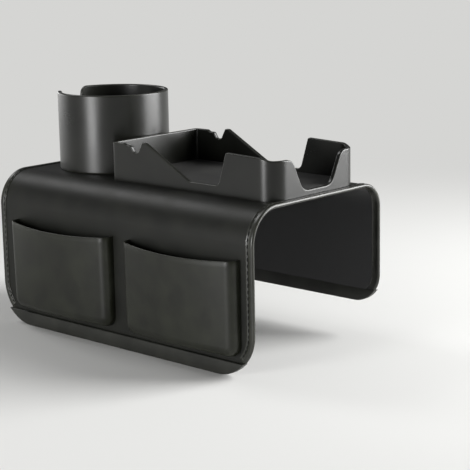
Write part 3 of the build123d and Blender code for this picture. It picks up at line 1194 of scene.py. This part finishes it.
@dataclass
class Pocket:
    """A moulded pouch with round lower corners, a bowed front and a dipped mouth."""

    end: End
    width: float = 139.5
    gap: float = 22.0
    shift: float = -5.5
    face: float = -96.0
    foot: float = -131.0
    mouth: float = -42.5
    dip: float = 3.0
    depth: float = 10.0
    mouth_bulge: float = 9.0
    foot_bulge: float = 4.0
    corner_radius: float = 11.0
    edge_radius: float = 9.6
    wall: float = 1.8
    # How far past the front's edges the bow and the dip run out
    margin: float = 2.0
    # The rolled rim, as shares of the wall and the lift above the mouth
    rim_profile: tuple[Place, ...] = ((0.12, 0.35), (0.32, 0.55), (0.68, 0.55), (0.88, 0.35))
    # The front's edge gets the most wear and painted highlight where it turns by this many degrees, and
    # how far that reaches
    rubbed_and_highlit_turn: float = 68.0
    rubbed_and_highlit_reach: float = 34.0
    # The longest parts that the pouch is drawn in: up the front, across it as a share, down the side
    level_step: float = 5.0
    share_step: float = 0.06
    side_step: float = 2.0

    @property
    def name(self) -> str:
        """The pocket's node."""
        return f"{self.end.name.lower()}_pocket"

    @property
    def centre(self) -> float:
        """The pocket's middle lengthwise."""
        return self.shift + self.end.value * (self.width + self.gap) / 2

    def crown(self, y: float) -> float:
        """Give the share of the bow and the dip at a distance from the pocket's middle."""
        share = y / (self.width / 2 + self.margin)
        return 1 - share * share

    def bulge(self, y: float, z: float) -> float:
        """Give how far the front bows out.

        Args:
            y: Distance from the pocket's middle.
            z: Height in the frame.

        Returns:
            The bow there.
        """
        rise = (z - self.foot + self.margin) / (self.mouth - self.foot + 3 * self.margin)
        amount = self.foot_bulge + (self.mouth_bulge - self.foot_bulge) * rise
        return amount * self.crown(y)

    def sheet(self, draft: MeshDraft, inset: float) -> tuple[list[int], list[int]]:
        """Add one face of the pouch's wall.

        Args:
            draft: The mesh in the making.
            inset: How far the face lies inside the outer face.

        Returns:
            The outline at the flap and the whole mouth line.
        """
        half = self.width / 2 - inset
        foot = self.foot + inset
        edge = self.edge_radius - inset
        depth = self.depth - inset
        # Inside its rounded edge the front is flat but for the bow, with corners of what is left
        core_half, core_foot = half - edge, foot + edge
        core_corner = self.corner_radius - self.edge_radius
        corner_top = core_foot + core_corner
        turns = [math.radians(turn) for turn in spread(0, 90, SOFT_TURN)[1:]]
        levels = spread(self.mouth, corner_top, self.level_step)
        levels += [corner_top - core_corner * math.sin(turn) for turn in turns]
        shares = spread(-1, 1, self.share_step)

        def settle(y: float, z: float, out: float) -> Point:
            """Place a point of the face, with the mouth's dip drawn in.

            Args:
                y: Distance from the pocket's middle.
                z: Height in the frame, before the dip.
                out: Distance from the flap's face.

            Returns:
                The place in the frame.
            """
            if z > core_foot:
                dip = self.dip * self.crown(y)
                tall = self.mouth - core_foot
                z = core_foot + (z - core_foot) * (tall - dip) / tall
            return (self.face - out, self.centre + y, z)

        rows, rim = [], []
        for z in levels:
            below = min(max(corner_top - z, 0.0), core_corner)
            lean = math.asin(min(1.0, below / core_corner))
            reach = core_half - core_corner + core_corner * math.cos(lean)
            face = [settle(s * reach, z, depth + self.bulge(s * reach, z)) for s in shares]
            rows.append(draft.add_row(face))
            rim.append((-reach, z, -math.cos(lean), -math.sin(lean)))
        draft.loft(rows)
        # The front's edge, as places with the way outward: down one side, along the foot and up
        rim.pop()
        bottom = [(s * (core_half - core_corner), core_foot, 0.0, -1.0) for s in shares]
        rim = rim + bottom + [(-y, z, -way_y, way_z) for y, z, way_y, way_z in reversed(rim)]
        ring = [row[0] for row in rows[:-1]] + rows[-1] + [row[-1] for row in reversed(rows[:-1])]
        mouth_left, mouth_right = [ring[0]], [ring[-1]]
        flat_side = depth - edge
        steps = [(edge * math.sin(turn), flat_side + edge * math.cos(turn)) for turn in turns]
        steps += [(edge, out) for out in spread(flat_side, 0.0, self.side_step)[1:]]
        for aside, out in steps:
            # The bow fades out down the flat of the side, so that the outline lies on the flap
            fade = min(1.0, max(0.0, out / flat_side))
            points = [
                settle(y + way_y * aside, z + way_z * aside, out + fade * self.bulge(y, z))
                for y, z, way_y, way_z in rim
            ]
            line = draft.add_row(points)
            draft.bridge(ring, line)
            ring = line
            mouth_left.append(line[0])
            mouth_right.append(line[-1])
        mouth = list(reversed(mouth_left))[:-1] + rows[0] + mouth_right[1:]
        return ring, mouth

    def build(self, palette: Palette) -> None:
        """Build the pouch and stand it for its node.

        Args:
            palette: The finishes.
        """
        draft = MeshDraft.empty()
        outer_ring, outer_mouth = self.sheet(draft, 0.0)
        inner_ring, inner_mouth = self.sheet(draft, self.wall)
        draft.bridge(outer_ring, inner_ring)
        lines = [outer_mouth]
        for share, lift in self.rim_profile:
            row = []
            for a, b in zip(outer_mouth, inner_mouth):
                p = Vector(draft.points[a]).lerp(Vector(draft.points[b]), share)
                row.append((p.x, p.y, p.z + lift))
            lines.append(draft.add_row(row))
        draft.loft([*lines, inner_mouth])
        piece = draft.to_object(f"{self.name}_pouch", palette.pocket, crease=60)
        # The pouch's broad edges get wear and a painted highlight where they turn to the side
        wear_and_highlight_values = piece.data.attributes[WEAR_AND_HIGHLIGHT].data
        for vertex, value in zip(piece.data.vertices, wear_and_highlight_values):
            turn = math.degrees(math.acos(min(1.0, abs(vertex.normal.x))))
            value.value = max(0.0, 1 - abs(turn - self.rubbed_and_highlit_turn) / self.rubbed_and_highlit_reach)
        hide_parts(self.name)
        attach(piece, "outer_flap")
        # The pouch is one cut of leather: its front with the depth of its sides and foot round it,
        # less what each rounded edge spares
        LOG.info("built the %s", self.name)


# Moulded walls: the tray and the cup holder


@dataclass
class WallRing:
    """A moulded wall that runs round a closed plan and has a shaped, rounded top.

    A subclass gives the plan. A place on the wall is told by the length round the plan, the depth
    below the outer face, and the height above the base.
    """

    wall: float = 4.0
    floor: float = 4.0
    base: float = 3.0
    rim_radius: float = 0.9
    foot_radius: float = 0.0
    guard: float = 0.35

    def plan(self, length: float, depth: float) -> Place:
        """Give the place in plan at a length round the outer face and a depth below it."""
        raise NotImplementedError

    def foot_lift(self, y: float) -> float:
        """Give how far the wall's foot is raised at a place."""
        return 0.0

    def shell(
        self, name: str, top: list[Place], total: float, material: bpy.types.Material
    ) -> bpy.types.Object:
        """Make the shell from its top line.

        Args:
            name: The piece's name.
            top: The top line, as lengths round the plan and heights, without its last point.
            total: The whole length round the plan.
            material: Its finish.

        Returns:
            The piece.
        """
        # The way that is square to the top line, at each of its points
        ways = []
        for before, after in zip(top[-1:] + top[:-1], top[1:] + top[:1]):
            run, rise = (after[0] - before[0]) % total, after[1] - before[1]
            size = math.hypot(run, rise)
            ways.append((-rise / size, run / size))
        draft = MeshDraft.empty()

        def line(depth: float, below: float, height: float | None = None) -> list[int]:
            """Add one line round the wall.

            Args:
                depth: Depth below the outer face.
                below: Distance below the top line, square to it.
                height: A set height that takes the place of the top line's.

            Returns:
                The line's point numbers.
            """
            points = []
            for (length, tall), (side, up) in zip(top, ways):
                x, y = self.plan(length - side * below, depth)
                z = self.base + (tall - up * below if height is None else height)
                if height is not None and height < self.floor:
                    z += self.foot_lift(y)
                points.append((x, y, z))
            return draft.add_row(points)

        rim, foot = self.rim_radius, self.foot_radius
        turns = [math.radians(turn) for turn in spread(0, 90, RIM_TURN)[1:]]
        quarter = [(math.sin(turn), math.cos(turn)) for turn in turns]
        # Up the outer face, over the rim and down the inner face. Lines near the rounded edges
        # guard the flat faces' shading.
        lines = [line(foot, rim, 0.0)]
        if foot > 0:
            lines += [line(foot - foot * away, rim, foot - foot * level) for away, level in quarter]
        lines.append(line(0.0, rim + self.guard, foot + self.guard))
        lines.append(line(0.0, rim + self.guard))
        lines.append(line(0.0, rim))
        lines += [line(rim - rim * level, rim - rim * away) for away, level in quarter]
        for away, level in [*reversed(quarter), (0.0, 1.0)]:
            lines.append(line(self.wall - rim + rim * level, rim - rim * away))
        lines.append(line(self.wall, rim + self.guard))
        lines.append(line(self.wall, rim, self.floor + self.guard))
        lines.append(line(self.wall, rim, self.floor))
        draft.loft(lines, closed=True, capped=True)
        return draft.to_object(name, material, crease=45)


@dataclass
class Tray(WallRing):
    """The open tray: notched side walls, a U through the front wall and a rubber mat on its floor."""

    width: float = 120.0
    length: float = 208.75
    centre_x: float = 1.0
    front_y: float = -164.5
    front_radius: float = 18.0
    rear_radius: float = 6.0
    binding_edge: float = -162.9
    binding_lift: float = 0.65
    cutout_shoulder: float = 34.98
    cutout_shoulder_radius: float = 10.8
    cutout_foot: float = 19.98
    cutout_foot_radius: float = 12.0
    cutout_height: float = 5.5
    front_height: float = 36.0
    swell_start: float = 6.9
    swell_end: float = 15.9
    swell_height: float = 38.4
    swell_radius: float = 12.0
    post_height: float = 39.8
    rest_height: float = 8.5
    crest_height: float = 39.5
    notch_height: float = 29.0
    notch_step_height: float = 35.0
    rear_height: float = 36.8
    overrun: float = 2.0
    # The longest parts that the top line is drawn in: round the corners, and along the rear wall
    front_corner_step: float = 1.6
    rear_corner_step: float = 1.2
    rear_step: float = 6.0
    # A point closer than this to an end of the flat side would fold the mesh over
    side_clear: float = 0.3

    def side_line(self) -> list[Place]:
        """Give the side walls' top line, from the front to the rear.

        Returns:
            Places along the wall, from its front face, with their heights.
        """
        # The front dips to the U's height and swells to a post. Behind it the line follows the
        # tray's length: the deep rest, its sloped back edge, the crest, the notch and the rear land.
        corners = [
            ((-self.overrun, self.front_height), 0.0),
            ((self.swell_start, self.front_height), self.swell_radius),
            ((self.swell_end, self.swell_height), self.swell_radius),
        ]
        corners += [
            ((share * self.length, height), radius)
            for share, height, radius in (
                (0.2775, self.post_height, 2.5),
                (0.3235, self.rest_height, 7.0),
                (0.5005, self.rest_height, 7.0),
                (0.7713, self.crest_height, 2.5),
                (0.7928, self.crest_height, 2.0),
                (0.8201, self.notch_height, 2.0),
                (0.8489, self.notch_height, 2.0),
                (0.8671, self.notch_step_height, 2.0),
                (0.8958, self.notch_step_height, 2.0),
                (0.9126, self.rear_height, 2.0),
            )
        ]
        corners.append(((self.length + self.overrun, self.rear_height), 0.0))
        return rounded_line(corners, step=4.0)

    def front_line(self) -> list[Place]:
        """Give the U's line in the front wall.

        Returns:
            Distances from the wall's middle, to the right, with their heights.
        """
        corners = [
            ((0.0, self.cutout_height), 0.0),
            ((self.cutout_foot, self.cutout_height), self.cutout_foot_radius),
            ((self.cutout_shoulder, self.front_height), self.cutout_shoulder_radius),
            ((self.width / 2 - self.front_radius, self.front_height), 0.0),
        ]
        return rounded_line(corners, step=3.0, arc_step=6.0)

    @property
    def runs(self) -> tuple[float, float, float, float, float]:
        """Give the lengths of half the plan's parts.

        Returns:
            The front flat, the front corner, the side, the rear corner and the rear flat.
        """
        half = self.width / 2
        return (
            half - self.front_radius,
            self.front_radius * math.pi / 2,
            self.length - self.front_radius - self.rear_radius,
            self.rear_radius * math.pi / 2,
            half - self.rear_radius,
        )

    def plan(self, length: float, depth: float) -> Place:
        """Give a place in plan.

        Args:
            length: Distance from the front's middle, which runs to the right round the outer face.
            depth: Depth below the outer face.

        Returns:
            The place.
        """
        front_flat, front_arc, side_flat, rear_arc, rear_flat = self.runs
        whole = 2 * sum(self.runs)
        rest = length % whole
        mirror = 1.0
        if rest > whole / 2:
            rest, mirror = whole - rest, -1.0
        half, rear = self.width / 2, self.front_y + self.length
        if rest <= front_flat:
            x, y = rest, self.front_y + depth
        elif (rest := rest - front_flat) <= front_arc:
            turn, reach = rest / self.front_radius, self.front_radius - depth
            x = front_flat + reach * math.sin(turn)
            y = self.front_y + self.front_radius - reach * math.cos(turn)
        elif (rest := rest - front_arc) <= side_flat:
            x, y = half - depth, self.front_y + self.front_radius + rest
        elif (rest := rest - side_flat) <= rear_arc:
            turn, reach = rest / self.rear_radius, self.rear_radius - depth
            x = rear_flat + reach * math.cos(turn)
            y = rear - self.rear_radius + reach * math.sin(turn)
        else:
            x, y = rear_flat - (rest - rear_arc), rear - depth
        return (self.centre_x + mirror * x, y)

    def foot_lift(self, y: float) -> float:
        """Raise the foot where it passes over the saddle's front binding."""
        return self.binding_lift if y < self.binding_edge else 0.0

    def top_line(self) -> tuple[list[Place], float]:
        """Give the top line round the plan.

        Returns:
            The line, as lengths round the plan and heights, and the plan's whole length.
        """
        side = self.side_line()
        front_flat, front_arc, side_flat, rear_arc, rear_flat = self.runs
        right = list(self.front_line())
        for rest in spread(0, front_arc, self.front_corner_step)[1:-1]:
            reach = self.front_radius * (1 - math.cos(rest / self.front_radius))
            right.append((front_flat + rest, height_at(side, reach)))
        start = front_flat + front_arc
        right.append((start, height_at(side, self.front_radius)))
        first = self.front_radius + self.side_clear
        last = self.length - self.rear_radius - self.side_clear
        right += [(start + a - self.front_radius, height) for a, height in side if first < a < last]
        start += side_flat
        right.append((start, self.rear_height))
        for part, step in ((rear_arc, self.rear_corner_step), (rear_flat, self.rear_step)):
            right += [(start + rest, self.rear_height) for rest in spread(0, part, step)[1:]]
            start += part
        total = 2 * start
        left = [(total - rest, height) for rest, height in reversed(right[1:-1])]
        return right + left, total

    def build(self, palette: Palette) -> None:
        """Build the tray's shell and dress its mat and rivets.

        Args:
            palette: The finishes.
        """
        top, total = self.top_line()
        shell = self.shell("tray_moulding", top, total, palette.abs)
        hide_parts("tray_shell")
        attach(shell, "saddle_top")
        dress("tray_mat", palette.rubber)
        dress("tray_rivets", palette.aluminium)
        LOG.info("built the tray")


@dataclass
class CupHolder(WallRing):
    """The cup holder: a round pot with a rounded rim and a slot for a mug's handle."""

    rim_radius: float = 1.2
    foot_radius: float = 1.5
    radius: float = 56.0
    height: float = 78.0
    centre_x: float = 1.0
    centre_y: float = 103.0
    slot_turn: float = 105.0
    slot_shoulder: float = 20.0
    slot_foot: float = 14.0
    slot_height: float = 22.0
    slot_shoulder_radius: float = 8.0
    slot_foot_radius: float = 11.0
    slot_land: float = 12.0
    rim_step: float = 2.6

    def plan(self, length: float, depth: float) -> Place:
        """Give a place in plan.

        Args:
            length: Distance from the slot's middle, which runs to the left round the outer face.
            depth: Depth below the outer face.

        Returns:
            The place.
        """
        angle = math.radians(self.slot_turn) + length / self.radius
        reach = self.radius - depth
        return (self.centre_x + reach * math.cos(angle), self.centre_y + reach * math.sin(angle))

    def top_line(self) -> tuple[list[Place], float]:
        """Give the top line round the plan.

        Returns:
            The line, as lengths round the plan and heights, and the plan's whole length.
        """
        total = math.tau * self.radius
        corners = [
            ((0.0, self.slot_height), 0.0),
            ((self.slot_foot, self.slot_height), self.slot_foot_radius),
            ((self.slot_shoulder, self.height), self.slot_shoulder_radius),
            ((self.slot_shoulder + self.slot_land, self.height), 0.0),
        ]
        half = rounded_line(corners, step=4.0, arc_step=8.0)
        start = half[-1][0]
        half += [(rest, self.height) for rest in spread(start, total / 2, self.rim_step)[1:]]
        left = [(total - rest, height) for rest, height in reversed(half[1:-1])]
        return half + left, total

    def build(self, palette: Palette) -> None:
        """Build the cup holder's shell and dress its mat and rivets.

        Args:
            palette: The finishes.
        """
        top, total = self.top_line()
        shell = self.shell("cup_holder_moulding", top, total, palette.abs)
        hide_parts("cup_shell")
        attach(shell, "saddle_top")
        dress("cup_mat", palette.rubber)
        dress("cup_rivets", palette.aluminium)
        LOG.info("built the cup holder")


# The studio


@dataclass(frozen=True)
class Softbox:
    """A soft rectangular lamp that points at the frame's origin."""

    name: str
    place: Point
    size: Place
    power: float

    def hang(self) -> None:
        """Hang the lamp."""
        data = bpy.data.lights.new(self.name, "AREA")
        data.shape = "RECTANGLE"
        data.size, data.size_y = (side * MM for side in self.size)
        data.energy = self.power
        lamp = bpy.data.objects.new(self.name, data)
        here = Vector(self.place) * MM
        aim = (-here).to_track_quat("-Z", "Y").to_matrix().to_4x4()
        lamp.matrix_world = Matrix.Translation(here) @ aim
        bpy.context.scene.collection.objects.link(lamp)


@dataclass
class Studio:
    """The pale floor, the soft lamps and the camera at the photograph's viewing angle."""

    floor_height: float = -150.2
    floor_half: float = 60000.0
    ambient: float = 0.14
    softboxes: tuple[Softbox, ...] = (
        Softbox("main_softbox", (1130, -1130, 1060), (1000, 1000), 38.0),
        Softbox("front_low_box", (1250, -1200, 180), (1300, 640), 38.0),
        Softbox("left_strip", (-1450, 60, 120), (420, 540), 14.0),
        Softbox("rear_low_panel", (120, 2400, 180), (2400, 700), 15.0),
        Softbox("rear_high_box", (-115, 1315, 1367), (640, 640), 7.4),
    )
    camera_place: Point = (-1020.7, -998.9, 245.3)
    camera_yaw: float = 47.47
    camera_pitch: float = 11.97
    camera_roll: float = -1.04
    camera_range: float = 60.0
    focal_pixels: float = 1475.7
    frame_pixels: float = 470.0
    sensor: float = 36.0

    def lay_floor(self, palette: Palette) -> None:
        """Lay the floor under the lowest edge.

        Args:
            palette: The finishes.
        """
        draft = MeshDraft.empty()
        half = self.floor_half
        corners = ((-half, -half), (half, -half), (half, half), (-half, half))
        draft.cap(draft.add_row([(x, y, self.floor_height) for x, y in corners]))
        floor = draft.to_object("studio_floor", palette.floor)

    def light(self) -> None:
        """Set the world and hang the lamps."""
        world = bpy.data.worlds.new("studio_world")
        bpy.context.scene.world = world
        world.use_nodes = True
        tree = world.node_tree
        tree.nodes.clear()
        ambient = add_node(tree, "ShaderNodeBackground", Color=linear("ffffff"), Strength=self.ambient)
        add_node(tree, "ShaderNodeOutputWorld", Surface=ambient.outputs["Background"])
        for softbox in self.softboxes:
            softbox.hang()

    def set_camera(self) -> None:
        """Set the camera that was fitted to the photograph's edges."""
        angles = (self.camera_yaw, self.camera_pitch, self.camera_roll)
        yaw, pitch, roll = (math.radians(angle) for angle in angles)
        level_way = math.cos(pitch)
        ahead = Vector((math.sin(yaw) * level_way, math.cos(yaw) * level_way, -math.sin(pitch)))
        level = Vector((math.cos(yaw), -math.sin(yaw), 0.0))
        up = level.cross(ahead)
        right = math.cos(roll) * level + math.sin(roll) * up
        above = right.cross(ahead)
        data = bpy.data.cameras.new("photo_camera")
        data.sensor_width = self.sensor
        data.sensor_fit = "AUTO"
        data.lens = self.focal_pixels * self.sensor / self.frame_pixels
        data.clip_end = self.camera_range
        camera = bpy.data.objects.new("photo_camera", data)
        turn = Matrix((right, above, -ahead)).transposed().to_4x4()
        camera.matrix_world = Matrix.Translation(Vector(self.camera_place) * MM) @ turn
        bpy.context.scene.collection.objects.link(camera)
        bpy.context.scene.camera = camera

    def build(self, palette: Palette) -> None:
        """Build the floor, the lamps and the camera.

        Args:
            palette: The finishes.
        """
        self.lay_floor(palette)
        self.light()
        self.set_camera()
        bpy.context.scene.view_settings.view_transform = "Standard"
        LOG.info("built the studio")


def main() -> None:
    """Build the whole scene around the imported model."""
    logging.basicConfig(level=logging.INFO, format="%(message)s")
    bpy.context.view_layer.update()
    palette = Palette()
    Studio().build(palette)
    outer = SaddleHalf(Side.OUTER, bend_radius=33.0, drop=153.0, corner_radius=42.0, hem_height=14.0)
    inner = SaddleHalf(Side.INNER, bend_radius=24.0, drop=120.0, corner_radius=30.0, hem_height=13.0)
    outer.build(palette)
    inner.build(palette)
    for end in End:
        Pocket(end).build(palette)
    Tray().build(palette)
    CupHolder().build(palette)
    dress("top_board", palette.board)
    dress("top_lining", palette.lining)
    LOG.info("built every piece")


if __name__ == "__main__":
    main()
